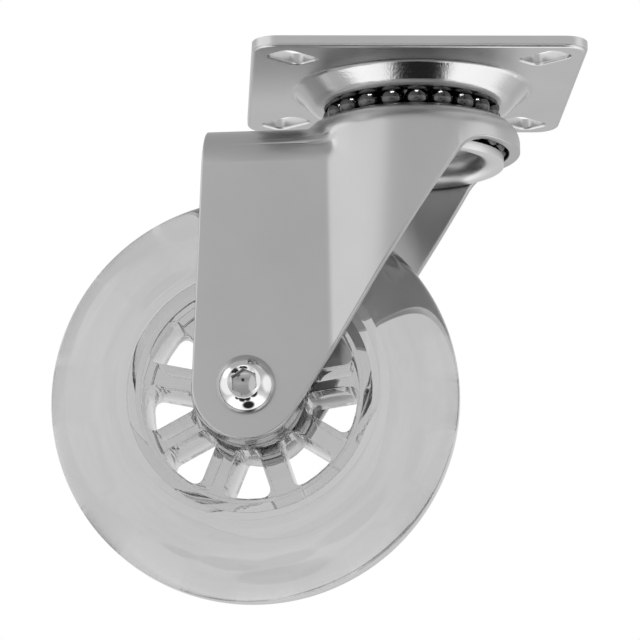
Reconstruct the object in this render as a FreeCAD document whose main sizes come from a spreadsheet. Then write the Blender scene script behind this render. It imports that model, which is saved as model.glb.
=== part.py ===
"""Furniture castor: clear 75 mm wheel in a pressed steel fork that swivels on two rings of balls.

The frame's origin is the centre of the plate's top face, on the swivel axis, with +Z up.
The fork is modelled along its own axes (X from the axle towards the crown, Y along the axle)
and then turned about Z by fork_turn, the angle at which it stands at rest.
"""
import FreeCAD, Part

import math
import os
import re

import Sketcher

SIZES = {
    # Mounting plate
    "plate_side": 60.0,
    "plate_thickness": 2.1,
    "plate_corner": 4.5,
    "plate_under_round": 0.75,
    "plate_top_round": 0.15,
    "slot_inset": 7.3,
    "slot_width": 5.6,
    "slot_length": 8.6,
    "slot_corner": 1.6,
    "slot_mouth_round": 0.5,
    "dome_depth": 3.9,
    "dome_foot_radius": 21.9,
    "dome_lip_radius": 17.9,
    "dome_foot_round": 1.5,
    "dome_lip_round": 4.1,
    "dome_margin": 1.0,
    # Balls and races of the swivel head
    "ball_diameter": 4.37,
    "race_clearance": 0.05,
    "race_depth": 1.0,
    "upper_ring_radius": 14.3,
    "upper_ball_count": 20,
    "lower_ball_count": 22,
    "cup_thickness": 1.6,
    "cup_radius": 16.84,
    "cup_hub_gap": 0.55,
    # Kingpin
    "kingpin_radius": 5.0,
    "kingpin_shoulder_radius": 7.0,
    "kingpin_head_radius": 7.5,
    "kingpin_head_height": 2.6,
    "kingpin_foot_radius": 6.8,
    "kingpin_foot_height": 2.2,
    "kingpin_chamfer": 1.1,
    "crown_hole_clearance": 0.5,
    # Fork
    "fork_turn": -7.23,
    "fork_sheet": 2.1,
    "fork_edge_round": 0.35,
    "crown_radius": 19.9,
    "crown_rise": 2.3,
    "crown_blend": 4.5,
    "blend_overlap": 0.04,
    "blend_step": 5.0,
    "blend_least_angle": 26.0,
    "leg_half_span": 15.5,
    "leg_bend": 8.5,
    "leg_lean": 2.6,
    "leg_end_radius": 9.8,
    "flare_angle": 24.0,
    "flare_round": 4.0,
    "diagonal_angle": 57.0,
    "rim_depth": 14.5,
    "rim_round": 6.5,
    "trail": 29.45,
    "axle_depth": 59.5,
    "cut_margin": 5.0,
    # Axle bolt, nut and washers
    "axle_diameter": 6.0,
    "axle_hole_clearance": 0.1,
    "bolt_length": 40.0,
    "bolt_head_diameter": 10.6,
    "bolt_head_height": 3.3,
    "bolt_rim_height": 0.7,
    "bolt_dome_radius": 5.6,
    "bolt_land_diameter": 5.8,
    "bolt_tip_chamfer": 0.6,
    "socket_width": 4.0,
    "socket_depth": 2.1,
    "socket_point": 0.9,
    "socket_turn": 35.0,
    "socket_margin": 0.2,
    "nut_width": 10.0,
    "nut_height": 6.0,
    "nut_hex_height": 4.4,
    "nut_chamfer": 0.5,
    "nut_collar_diameter": 8.9,
    "nut_lip": 0.4,
    "nut_margin": 0.5,
    "insert_diameter": 8.0,
    "insert_height": 1.5,
    "washer_diameter": 9.2,
    "washer_thickness": 1.4,
    "washer_clearance": 0.1,
    # Wheel bearings
    "bearing_diameter": 19.0,
    "bearing_width": 6.0,
    "bearing_chamfer": 0.3,
    "bearing_inner_land": 4.8,
    "bearing_outer_land": 7.7,
    "bearing_ball_diameter": 3.5,
    "bearing_ball_count": 7,
    "bearing_race_clearance": 0.02,
    "cage_wall": 0.8,
    "cage_width": 4.2,
    "cage_clearance": 0.08,
    "shield_thickness": 0.3,
    "shield_inset": 0.2,
    "shield_seat": 0.25,
    "shield_gap": 0.2,
    "spacer_diameter": 8.6,
    "spacer_clearance": 0.1,
    # Wheel core
    "hub_radius": 11.3,
    "hub_stop_radius": 7.6,
    "hub_proud": 3.0,
    "window_count": 9,
    "window_radius": 19.6,
    "window_hub_margin": 0.6,
    "window_angle": -92.0,
    "window_round": 1.8,
    "window_foot_round": 0.6,
    "spoke_width": 4.4,
    "rim_margin": 0.3,
    "rim_step_radius": 20.6,
    "rim_inset": 0.6,
    # Tyre
    "tyre_bond_radius": 22.4,
    "tyre_shoulder": 1.4,
    "tyre_leg_gap": 1.4,
    "wheel_radius": 37.5,
}

DERIVED = {
    # Plate: depths below the top face, and the pressed dome's offset corners
    "land_depth": "plate_thickness + dome_depth",
    "dome_shift": "plate_thickness * tan(atan(dome_depth / (dome_foot_radius - dome_lip_radius)) / 2)",
    "dome_border": "dome_foot_radius + dome_foot_round + dome_margin",
    "slot_offset": "plate_side / 2 - slot_inset",
    # Swivel races
    "race_radius": "ball_diameter / 2 + race_clearance",
    "upper_ball_depth": "land_depth + race_radius - race_depth",
    "crown_depth": "upper_ball_depth + race_radius - race_depth",
    "crown_under_depth": "crown_depth + fork_sheet",
    "crown_round": "race_radius + fork_sheet",
    "lower_ring_radius": "crown_radius - crown_round",
    "lower_ball_depth": "crown_under_depth + race_radius",
    "cup_hub_depth": "crown_under_depth + cup_hub_gap",
    "cup_wall_radius": "lower_ring_radius - race_radius",
    "cup_flange_depth": "lower_ball_depth + race_radius",
    "cup_outer_bend": "race_radius + cup_thickness",
    "kingpin_under_depth": "cup_hub_depth + cup_thickness",
    "kingpin_top_depth": "land_depth - plate_thickness - kingpin_head_height",
    # Fork
    "web_depth": "crown_depth + crown_rise",
    "mould_floor": "axle_depth + leg_end_radius + cut_margin",
    "mould_back": "trail + leg_end_radius + cut_margin",
    "leg_inner": "leg_half_span - fork_sheet",
    # Axle stack, measured along the axle from the wheel's middle
    "axle_radius": "axle_diameter / 2",
    "hub_half_width": "leg_inner - washer_thickness",
    "bearing_inner_face": "hub_half_width - bearing_width",
    "bearing_middle": "hub_half_width - bearing_width / 2",
    "bearing_pitch_radius": "(bearing_inner_land + bearing_outer_land) / 2",
    "bearing_race_radius": "bearing_ball_diameter / 2 + bearing_race_clearance",
    "shield_radius": "bearing_outer_land + shield_seat",
    "web_half_width": "hub_half_width - hub_proud",
    "tyre_section_radius": "leg_inner - tyre_leg_gap",
    "tyre_centre_radius": "wheel_radius - tyre_section_radius",
    "tyre_half_bond": "tyre_section_radius - tyre_shoulder",
    "rim_half_width": "tyre_half_bond - rim_inset",
    "window_hub_radius": "hub_radius + window_hub_margin",
}

WORD = re.compile(r"[a-z][a-z_]*")
UPRIGHT_AXIS = "V_Axis"

doc = FreeCAD.newDocument("furniture_castor")
PARTS = []


def expand(formula):
    """Write a formula out in full, so that it names only cells of the sheet."""
    def swap(match):
        word = match.group(0)
        if word in DERIVED:
            return "(" + expand(DERIVED[word]) + ")"
        return "Sizes." + word if word in SIZES else word
    return WORD.sub(swap, formula)


def num(formula):
    """The value of a formula of sizes."""
    value = sheet.evalExpression(expand(formula))
    return float(getattr(value, "Value", value))


def bind(target, path, formula):
    """Tie a property of an object to a formula of sizes."""
    target.setExpression(path, expand(formula))


def make_sheet():
    """The sheet of driving sizes, one named cell each."""
    table = doc.addObject("Spreadsheet::Sheet", "Sizes")
    for row, (name, value) in enumerate(SIZES.items(), start=1):
        table.set("A%d" % row, name)
        table.set("B%d" % row, str(value))
        table.setAlias("B%d" % row, name)
    doc.recompute()
    return table


def make_body(name):
    """An empty body, to be filled by the features of one piece."""
    body = doc.addObject("PartDesign::Body", name + "_body")
    body.Label = name
    return body


def make_sketch(body, name, plane, rise=None):
    """A sketch on one of the body's own origin planes, lifted along its normal by rise."""
    sketch = body.newObject("Sketcher::SketchObject", name)
    support = [item for item in body.Origin.OriginFeatures if item.Role == plane][0]
    sketch.AttachmentSupport = (support, [""])
    sketch.MapMode = "FlatFace"
    if rise:
        bind(sketch, "AttachmentOffset.Base.z", rise)
    return sketch


def pin(sketch, geometry, point, x, y):
    """Tie one point of a sketch to a place given by two formulas."""
    for kind, axis, formula in (("DistanceX", -2, x), ("DistanceY", -1, y)):
        if formula == "0":
            sketch.addConstraint(Sketcher.Constraint("PointOnObject", geometry, point, axis))
            continue
        index = sketch.addConstraint(Sketcher.Constraint(kind, -1, 1, geometry, point, num(formula)))
        bind(sketch, "Constraints[%d]" % index, formula)


def set_radius(sketch, geometry, formula):
    """Tie a circle's or an arc's radius to a formula."""
    index = sketch.addConstraint(Sketcher.Constraint("Radius", geometry, num(formula)))
    bind(sketch, "Constraints[%d]" % index, formula)


def arc_shape(start, end, radius, turn, large):
    """An arc from start to end; turn is 1 where it runs anticlockwise, -1 where clockwise."""
    chord = end - start
    rise = math.sqrt(max(radius ** 2 - (chord.Length / 2) ** 2, 0.0))
    left = FreeCAD.Vector(-chord.y, chord.x, 0).normalize()
    centre = (start + end) / 2 + left * (rise * turn * (-1 if large else 1))
    first, last = (start, end) if turn > 0 else (end, start)
    angles = [math.atan2(point.y - centre.y, point.x - centre.x) for point in (first, last)]
    circle = Part.Circle(centre, FreeCAD.Vector(0, 0, 1), radius)
    return Part.ArcOfCircle(circle, angles[0], angles[1])


def draw_path(sketch, corners):
    """Draw a closed outline. A corner is (x, y), or (x, y, radius, turn[, large]) if an arc leaves it."""
    places = [FreeCAD.Vector(num(corner[0]), num(corner[1]), 0) for corner in corners]
    ends = []
    for index, corner in enumerate(corners):
        start, end = places[index], places[(index + 1) % len(places)]
        if len(corner) == 2:
            geometry = sketch.addGeometry(Part.LineSegment(start, end))
            ends.append((geometry, 1, 2))
            continue
        large = len(corner) > 4
        geometry = sketch.addGeometry(arc_shape(start, end, num(corner[2]), corner[3], large))
        ends.append((geometry, 1, 2) if corner[3] > 0 else (geometry, 2, 1))
    for index, (geometry, first, last) in enumerate(ends):
        following = ends[(index + 1) % len(ends)]
        sketch.addConstraint(Sketcher.Constraint("Coincident", geometry, last, following[0], following[1]))
        pin(sketch, geometry, first, corners[index][0], corners[index][1])
        if len(corners[index]) > 2:
            set_radius(sketch, geometry, corners[index][2])


def draw_circle(sketch, x, y, radius):
    """Draw a circle about a place given by two formulas."""
    centre = FreeCAD.Vector(num(x), num(y), 0)
    geometry = sketch.addGeometry(Part.Circle(centre, FreeCAD.Vector(0, 0, 1), num(radius)))
    pin(sketch, geometry, 3, x, y)
    set_radius(sketch, geometry, radius)


def draw_half_ball(sketch, radius):
    """Draw the half circle that turns into a ball about the sketch's upright axis."""
    draw_path(sketch, [("0", "-" + radius, radius, 1), (radius, "0", radius, 1), ("0", radius)])


def draw_hexagon(sketch, width, turn):
    """Draw a hexagon by its width across flats, its first corner turned by an angle."""
    corners = []
    for index in range(6):
        angle = "(%s + %d)" % (turn, 60 * index)
        reach = "%s / sqrt(3)" % width
        corners.append(("%s * cos(%s)" % (reach, angle), "%s * sin(%s)" % (reach, angle)))
    draw_path(sketch, corners)


def revolve(body, sketch, kind="Revolution"):
    """Turn a sketch a full circle about its own upright axis, adding or cutting."""
    feature = body.newObject("PartDesign::" + kind, sketch.Name + "_turned")
    feature.Profile = sketch
    feature.ReferenceAxis = (sketch, [UPRIGHT_AXIS])
    feature.Angle = 360
    body.Tip = feature
    doc.recompute()
    return feature


def turned_body(name, plane, corners):
    """A body turned about its own Z axis (plane XZ_Plane) or Y axis (plane XY_Plane)."""
    body = make_body(name)
    sketch = make_sketch(body, name + "_profile", plane)
    draw_path(sketch, corners)
    revolve(body, sketch)
    return body


def cut_ring(body, name, plane, x, y, radius):
    """Cut a round race into a turned body."""
    sketch = make_sketch(body, name, plane)
    draw_circle(sketch, x, y, radius)
    return revolve(body, sketch, "Groove")


def pad(body, sketch, length, reverse=False):
    """Thicken a sketch along its normal."""
    feature = body.newObject("PartDesign::Pad", sketch.Name + "_pad")
    feature.Profile = sketch
    bind(feature, "Length", length)
    feature.Reversed = reverse
    body.Tip = feature
    doc.recompute()
    return feature


def pocket(body, sketch, depth=None, both_ways=False, reverse=False):
    """Cut a sketch into the body, by a depth or right through."""
    feature = body.newObject("PartDesign::Pocket", sketch.Name + "_pocket")
    feature.Profile = sketch
    if depth:
        bind(feature, "Length", depth)
    else:
        feature.Type = "ThroughAll"
    if both_ways:
        feature.SideType = "Symmetric"
    feature.Reversed = reverse
    body.Tip = feature
    doc.recompute()
    return feature


def repeat_round(body, features, axis, count):
    """Repeat features evenly about one of the body's own axes."""
    feature = body.newObject("PartDesign::PolarPattern", body.Label + "_pattern")
    feature.Originals = features
    line = [item for item in body.Origin.OriginFeatures if item.Role == axis][0]
    feature.Axis = (line, [""])
    feature.Angle = 360
    bind(feature, "Occurrences", count)
    body.Tip = feature
    doc.recompute()
    return feature


def edges_where(feature, test):
    """Names of the feature's edges that pass a test."""
    return ["Edge%d" % (index + 1) for index, edge in enumerate(feature.Shape.Edges) if test(edge)]


def ring_edges(feature, radius, depth):
    """Names of the circles about the Z axis with this radius and this depth below the origin."""
    def test(edge):
        box = edge.BoundBox
        level = abs(box.ZMin + num(depth)) < 1e-4 and abs(box.ZMax + num(depth)) < 1e-4
        round_edge = isinstance(edge.Curve, Part.Circle)
        return level and round_edge and abs(edge.Curve.Radius - num(radius)) < 1e-4
    return edges_where(feature, test)


def soften(body, base, edges, size, kind="Fillet"):
    """Round or chamfer some edges of the latest feature."""
    feature = body.newObject("PartDesign::" + kind, "%s_%s_%d" % (body.Label, kind.lower(), len(body.Group)))
    feature.Base = (base, edges)
    bind(feature, "Radius" if kind == "Fillet" else "Size", size)
    body.Tip = feature
    doc.recompute()
    return feature


def finish(piece, name, place=None):
    """List a finished piece for export and set it in its place."""
    piece.Label = name
    if place:
        place(piece)
    PARTS.append(piece)
    return piece


def turn_with_fork(piece):
    """Turn a piece of the fork about the swivel axis."""
    bind(piece, "Placement.Rotation.Angle", "fork_turn")


def set_on_axle(piece):
    """Turn a piece with the fork and move it out to the axle."""
    turn_with_fork(piece)
    bind(piece, "Placement.Base.x", "-trail * cos(fork_turn)")
    bind(piece, "Placement.Base.y", "-trail * sin(fork_turn)")
    bind(piece, "Placement.Base.z", "-axle_depth")


def make_top_plate():
    """Square plate pressed down in the middle into a dome, with four diagonal slots."""
    body = make_body("top_plate")
    square = make_sketch(body, "plate_square", "XY_Plane")
    side = "plate_side / 2"
    draw_path(square, [("-" + side, "-" + side), (side, "-" + side), (side, side), ("-" + side, side)])
    draw_circle(square, "0", "0", "dome_border")
    plate = pad(body, square, "plate_thickness", reverse=True)

    dome = make_sketch(body, "plate_dome", "XZ_Plane")
    draw_path(dome, [
        ("kingpin_radius", "-land_depth"),
        ("dome_lip_radius", "-land_depth"),
        ("dome_foot_radius", "-plate_thickness"),
        ("dome_border", "-plate_thickness"),
        ("dome_border", "0"),
        ("dome_foot_radius - dome_shift", "0"),
        ("dome_lip_radius - dome_shift", "plate_thickness - land_depth"),
        ("kingpin_radius", "plate_thickness - land_depth"),
    ])
    base = revolve(body, dome)

    base = soften(body, base, ring_edges(base, "dome_foot_radius", "plate_thickness"), "dome_foot_round")
    base = soften(body, base, ring_edges(base, "dome_lip_radius", "land_depth"), "dome_lip_round")
    top_foot = ring_edges(base, "dome_foot_radius - dome_shift", "0")
    base = soften(body, base, top_foot, "dome_foot_round + plate_thickness")
    top_lip = ring_edges(base, "dome_lip_radius - dome_shift", "land_depth - plate_thickness")
    base = soften(body, base, top_lip, "dome_lip_round - plate_thickness")
    base = cut_ring(body, "upper_race", "XZ_Plane", "upper_ring_radius", "-upper_ball_depth", "race_radius")

    reach = num("plate_side") / 2

    def upright_corner(edge):
        place = edge.CenterOfMass
        upright = isinstance(edge.Curve, Part.Line) and abs(edge.tangentAt(edge.FirstParameter).z) > 0.99
        return upright and abs(abs(place.x) - reach) < 1e-4 and abs(abs(place.y) - reach) < 1e-4

    base = soften(body, base, edges_where(base, upright_corner), "plate_corner")

    def rim_side(depth):
        def test(edge):
            box = edge.BoundBox
            level = abs(box.ZMin + num(depth)) < 1e-4 and abs(box.ZMax + num(depth)) < 1e-4
            return level and max(abs(box.XMin), abs(box.XMax), abs(box.YMin), abs(box.YMax)) > reach - 1e-4
        return test

    base = soften(body, base, edges_where(base, rim_side("plate_thickness")), "plate_under_round")
    base = soften(body, base, edges_where(base, rim_side("0")), "plate_top_round")

    slot = make_sketch(body, "plate_slot", "XY_Plane")
    bind(slot, "AttachmentOffset.Base.x", "slot_offset")
    bind(slot, "AttachmentOffset.Base.y", "slot_offset")
    slot.AttachmentOffset = FreeCAD.Placement(slot.AttachmentOffset.Base, FreeCAD.Rotation(45, 0, 0))
    end, side = "slot_length / 2", "slot_width / 2"
    run, rise = "(%s - slot_corner)" % end, "(%s - slot_corner)" % side
    draw_path(slot, [
        ("-" + run, "-" + side),
        (run, "-" + side, "slot_corner", 1),
        (end, "-" + rise),
        (end, rise, "slot_corner", 1),
        (run, side),
        ("-" + run, side, "slot_corner", 1),
        ("-" + end, rise),
        ("-" + end, "-" + rise, "slot_corner", 1),
    ])
    cut = pocket(body, slot, both_ways=True)
    base = repeat_round(body, [cut], "Z_Axis", "4")
    bottom = -num("plate_thickness")
    spread = num("slot_offset")

    def slot_mouth(edge):
        place = edge.CenterOfMass
        near = math.hypot(abs(place.x) - spread, abs(place.y) - spread) < num("slot_length")
        return near and abs(edge.BoundBox.ZMax - bottom) < 1e-4 and abs(edge.BoundBox.ZMin - bottom) < 1e-4

    soften(body, base, edges_where(base, slot_mouth), "slot_mouth_round")
    finish(body, "top_plate")


def make_kingpin():
    """Shouldered rivet that holds the plate, the fork's crown and the lower cup together."""
    body = turned_body("kingpin", "XZ_Plane", [
        ("0", "-kingpin_under_depth - kingpin_foot_height"),
        ("kingpin_foot_radius - kingpin_chamfer", "-kingpin_under_depth - kingpin_foot_height"),
        ("kingpin_foot_radius", "-kingpin_under_depth - kingpin_foot_height + kingpin_chamfer"),
        ("kingpin_foot_radius", "-kingpin_under_depth"),
        ("kingpin_radius", "-kingpin_under_depth"),
        ("kingpin_radius", "-cup_hub_depth"),
        ("kingpin_shoulder_radius", "-cup_hub_depth"),
        ("kingpin_shoulder_radius", "-land_depth"),
        ("kingpin_radius", "-land_depth"),
        ("kingpin_radius", "plate_thickness - land_depth"),
        ("kingpin_head_radius", "plate_thickness - land_depth"),
        ("kingpin_head_radius", "-kingpin_top_depth - kingpin_chamfer"),
        ("kingpin_head_radius - kingpin_chamfer", "-kingpin_top_depth"),
        ("0", "-kingpin_top_depth"),
    ])
    finish(body, "kingpin")


def make_lower_cup():
    """Pressed hat whose rounded foot is the inner race of the lower balls."""
    body = turned_body("lower_race_cup", "XZ_Plane", [
        ("kingpin_radius", "-cup_hub_depth - cup_thickness"),
        ("cup_wall_radius - cup_thickness", "-cup_hub_depth - cup_thickness"),
        ("cup_wall_radius - cup_thickness", "-lower_ball_depth", "cup_outer_bend", 1),
        ("lower_ring_radius", "-cup_flange_depth - cup_thickness"),
        ("cup_radius", "-cup_flange_depth - cup_thickness"),
        ("cup_radius", "-cup_flange_depth"),
        ("lower_ring_radius", "-cup_flange_depth", "race_radius", -1),
        ("cup_wall_radius", "-lower_ball_depth"),
        ("cup_wall_radius", "-cup_hub_depth"),
        ("kingpin_radius", "-cup_hub_depth"),
    ])
    finish(body, "lower_race_cup")


def make_ball_ring(name, radius, depth, count):
    """A full ring of swivel balls."""
    body = make_body(name)
    sketch = make_sketch(body, name + "_half", "XZ_Plane")
    draw_half_ball(sketch, "ball_diameter / 2")
    bind(sketch, "AttachmentOffset.Base.x", radius)
    bind(sketch, "AttachmentOffset.Base.y", "-" + depth)
    feature = revolve(body, sketch)
    repeat_round(body, [feature], "Z_Axis", count)
    finish(body, name)


def make_fork_mould(name, inset):
    """The fork's outside as a solid block, or its inside if it is inset by the sheet."""
    radius, half = "(crown_radius - %s)" % inset, "(leg_half_span - %s)" % inset
    bend = "(flare_round + %s)" % inset
    touch_x, touch_y = "-%s * sin(flare_angle)" % radius, "%s * cos(flare_angle)" % radius
    knee = "(%s - (%s - %s) / tan(flare_angle))" % (touch_x, touch_y, half)
    run = "%s * tan(flare_angle / 2)" % bend
    back = "-mould_back"
    outer_knee = ("%s + %s * cos(flare_angle)" % (knee, run), "%s + %s * sin(flare_angle)" % (half, run))

    body = make_body(name)
    plan = make_sketch(body, name + "_plan", "XY_Plane", "-mould_floor")
    draw_path(plan, [
        (back, half),
        (back, "-" + half),
        ("%s - %s" % (knee, run), "-" + half, bend, -1),
        (outer_knee[0], "-(" + outer_knee[1] + ")"),
        (touch_x, "-" + touch_y, radius, 1, "large"),
        (touch_x, touch_y),
        (outer_knee[0], outer_knee[1], bend, -1),
        ("%s - %s" % (knee, run), half),
    ])
    walls = pad(body, plan, "mould_floor - web_depth - %s" % inset)
    top = -num("web_depth + " + inset)
    end = -num("mould_back")

    def web_side(edge):
        box = edge.BoundBox
        flat = abs(box.ZMin - top) < 1e-4 and abs(box.ZMax - top) < 1e-4
        return flat and box.XMax > end + 1e-3

    channel = soften(body, walls, edges_where(walls, web_side), "leg_bend - " + inset)
    disc = make_sketch(body, name + "_disc", "XY_Plane", "-mould_floor")
    draw_circle(disc, "0", "0", radius)
    crown = pad(body, disc, "mould_floor - crown_depth - %s" % inset)
    crown_edge = ring_edges(crown, radius, "crown_depth + " + inset)
    soften(body, crown, crown_edge, "crown_round - " + inset)
    return body, channel


def crown_side(angle, reach):
    """The place this far down the crown's side from its flat top, and the outward normal there."""
    radius = num("crown_round")
    tilt = min(reach / radius, math.pi / 2)
    fall = reach - radius * tilt
    outward = FreeCAD.Vector(math.cos(angle), math.sin(angle), 0)
    normal = outward * math.sin(tilt) + FreeCAD.Vector(0, 0, math.cos(tilt))
    depth = FreeCAD.Vector(0, 0, num("crown_depth + crown_round") + fall)
    return outward * num("crown_radius - crown_round") - depth + normal * radius, normal


def rest_ball(channel, angle):
    """Rest a ball in the crease between the crown and the channel, at an angle about the swivel axis.

    Returns its centre and the directions to the channel and to the crown, or None where there is no crease.
    """
    radius = num("crown_blend")

    def try_place(reach):
        place, normal = crown_side(angle, reach)
        centre = place + normal * radius
        distance, points, _ = channel.distToShape(Part.Vertex(centre))
        return distance - radius, centre, points[0][0], normal

    low = high = 0.0
    while try_place(high)[0] > 0:
        low = high
        high += radius / 10
        if high > num("rim_depth"):
            return None
    for _ in range(20):
        middle = (low + high) / 2
        if try_place(middle)[0] > 0:
            low = middle
        else:
            high = middle
    _, centre, touch, normal = try_place(high)
    return centre, (touch - centre).normalize(), normal * -1


def rest_balls(channel):
    """Balls along the whole crease, until it runs out into the walls at both sides."""
    side = []
    angle = math.pi
    while True:
        ball = rest_ball(channel, angle)
        if ball is None or math.degrees(ball[1].getAngle(ball[2])) < num("blend_least_angle"):
            break
        side.append(ball)
        angle -= math.radians(num("blend_step"))
    other = [tuple(FreeCAD.Vector(item.x, -item.y, item.z) for item in ball) for ball in side[:0:-1]]
    return other + side


def make_crown_blend(balls):
    """Filling of the crease, hollow towards the outside by the balls' radius."""
    radius = num("crown_blend + blend_overlap")
    wires = []
    for centre, to_channel, to_crown in balls:
        middle = (to_channel + to_crown).normalize()
        deep = radius / math.cos(to_channel.getAngle(to_crown) / 2) + num("fork_sheet")
        start, end = centre + to_channel * radius, centre + to_crown * radius
        inner = centre + middle * deep
        arc = Part.Arc(start, centre + middle * radius, end).toShape()
        wires.append(Part.Wire([arc, Part.makeLine(end, inner), Part.makeLine(inner, start)]))
    filling = doc.addObject("Part::Feature", "fork_crown_blend")
    filling.Shape = Part.makeLoft(wires, True, False)
    return filling


def make_fork_side():
    """The fork's outline from the side, as a block right across it."""
    left_x = "(-trail - leg_end_radius * cos(leg_lean))"
    left_z = "(-axle_depth + leg_end_radius * sin(leg_lean))"
    right_x = "(-trail + leg_end_radius * sin(diagonal_angle))"
    right_z = "(-axle_depth - leg_end_radius * cos(diagonal_angle))"
    corner_x = "(%s + (-rim_depth - %s) / tan(diagonal_angle))" % (right_x, right_z)
    run = "(rim_round * tan(diagonal_angle / 2))"
    front = "crown_radius + cut_margin"
    sketch = doc.addObject("Sketcher::SketchObject", "fork_side_outline")
    sketch.Placement = FreeCAD.Placement(FreeCAD.Vector(), FreeCAD.Rotation(FreeCAD.Vector(1, 0, 0), 90))
    draw_path(sketch, [
        ("%s + (0 - %s) * tan(leg_lean)" % (left_x, left_z), "0"),
        (left_x, left_z, "leg_end_radius", 1),
        (right_x, right_z),
        ("%s - %s * cos(diagonal_angle)" % (corner_x, run),
         "-rim_depth - %s * sin(diagonal_angle)" % run, "rim_round", -1),
        ("%s + %s" % (corner_x, run), "-rim_depth"),
        (front, "-rim_depth"),
        (front, "0"),
    ])
    block = doc.addObject("Part::Extrusion", "fork_side")
    block.Base = sketch
    block.DirMode = "Custom"
    block.Dir = FreeCAD.Vector(0, 1, 0)
    block.Solid = True
    block.Symmetric = True
    bind(block, "LengthFwd", "(crown_radius + cut_margin) * 2")
    return block


def boolean(kind, name, base, tool):
    """One Part boolean between two objects."""
    result = doc.addObject("Part::" + kind, name)
    result.Base = base
    result.Tool = tool
    return result


def cut_edges(sheet_shape, outline_block):
    """Numbers of the edges between the sheet's cut faces, which lie on the outline block, and its other faces."""
    owners = {}
    for face in sheet_shape.Faces:
        low_u, high_u, low_v, high_v = face.ParameterRange
        middle = Part.Vertex(face.valueAt((low_u + high_u) / 2, (low_v + high_v) / 2))
        cut = any(middle.distToShape(other)[0] < 1e-4 for other in outline_block.Faces)
        for edge in face.Edges:
            owners.setdefault(edge.hashCode(), []).append(cut)
    numbers = []
    for index, edge in enumerate(sheet_shape.Edges, start=1):
        sides = owners[edge.hashCode()]
        if True in sides and False in sides:
            numbers.append(index)
    return numbers


def make_fork():
    """One sheet drawn into a crown over the balls and folded down into two legs."""
    outside, channel = make_fork_mould("fork_outside", "0")
    inside, _ = make_fork_mould("fork_inside", "fork_sheet")
    blend = make_crown_blend(rest_balls(channel.Shape))
    blended = boolean("Fuse", "fork_outside_blended", outside, blend)
    shell = boolean("Cut", "fork_shell", blended, inside)
    block = make_fork_side()
    trimmed = boolean("Common", "fork_trimmed", shell, block)

    race = doc.addObject("Part::Torus", "fork_upper_race")
    bind(race, "Radius1", "upper_ring_radius")
    bind(race, "Radius2", "race_radius")
    bind(race, "Placement.Base.z", "-upper_ball_depth")
    raced = boolean("Cut", "fork_raced", trimmed, race)

    hole = doc.addObject("Part::Cylinder", "fork_kingpin_hole")
    bind(hole, "Radius", "kingpin_shoulder_radius + crown_hole_clearance")
    bind(hole, "Height", "fork_sheet + cut_margin")
    bind(hole, "Placement.Base.z", "-crown_under_depth - cut_margin / 2")
    holed = boolean("Cut", "fork_holed", raced, hole)

    bore = doc.addObject("Part::Cylinder", "fork_axle_holes")
    bind(bore, "Radius", "axle_radius + axle_hole_clearance")
    bind(bore, "Height", "(leg_half_span + cut_margin) * 2")
    bore.Placement.Rotation = FreeCAD.Rotation(FreeCAD.Vector(1, 0, 0), -90)
    bind(bore, "Placement.Base.x", "-trail")
    bind(bore, "Placement.Base.y", "-leg_half_span - cut_margin")
    bind(bore, "Placement.Base.z", "-axle_depth")
    bored = boolean("Cut", "fork_bored", holed, bore)
    doc.recompute()

    fork = doc.addObject("Part::Fillet", "fork_edges_rounded")
    fork.Base = bored
    radius = num("fork_edge_round")
    fork.Edges = [(index, radius, radius) for index in cut_edges(bored.Shape, block.Shape)]
    doc.recompute()
    finish(fork, "fork", turn_with_fork)


def make_axle_bolt():
    """Button-head screw with a hexagon socket, its head outside the near leg."""
    head = "-(leg_half_span + %s)"
    tip = "bolt_length - leg_half_span"
    body = turned_body("axle_bolt", "XY_Plane", [
        ("0", head % "bolt_head_height"),
        ("bolt_land_diameter / 2", head % "bolt_head_height", "bolt_dome_radius", 1),
        ("bolt_head_diameter / 2", head % "bolt_rim_height"),
        ("bolt_head_diameter / 2", "-leg_half_span"),
        ("axle_radius", "-leg_half_span"),
        ("axle_radius", tip + " - bolt_tip_chamfer"),
        ("axle_radius - bolt_tip_chamfer", tip),
        ("0", tip),
    ])
    point = make_sketch(body, "socket_point_profile", "XY_Plane")
    floor = "(leg_half_span + bolt_head_height - socket_depth)"
    draw_path(point, [
        ("0", "-%s - socket_margin" % floor),
        ("socket_width / 2", "-%s - socket_margin" % floor),
        ("socket_width / 2", "-" + floor),
        ("0", "-%s + socket_point" % floor),
    ])
    revolve(body, point, "Groove")
    socket = make_sketch(body, "socket_hexagon", "XZ_Plane", "leg_half_span + bolt_head_height - socket_depth")
    draw_hexagon(socket, "socket_width", "socket_turn")
    pocket(body, socket, "socket_depth + socket_margin", reverse=True)
    finish(body, "axle_bolt", set_on_axle)


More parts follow.
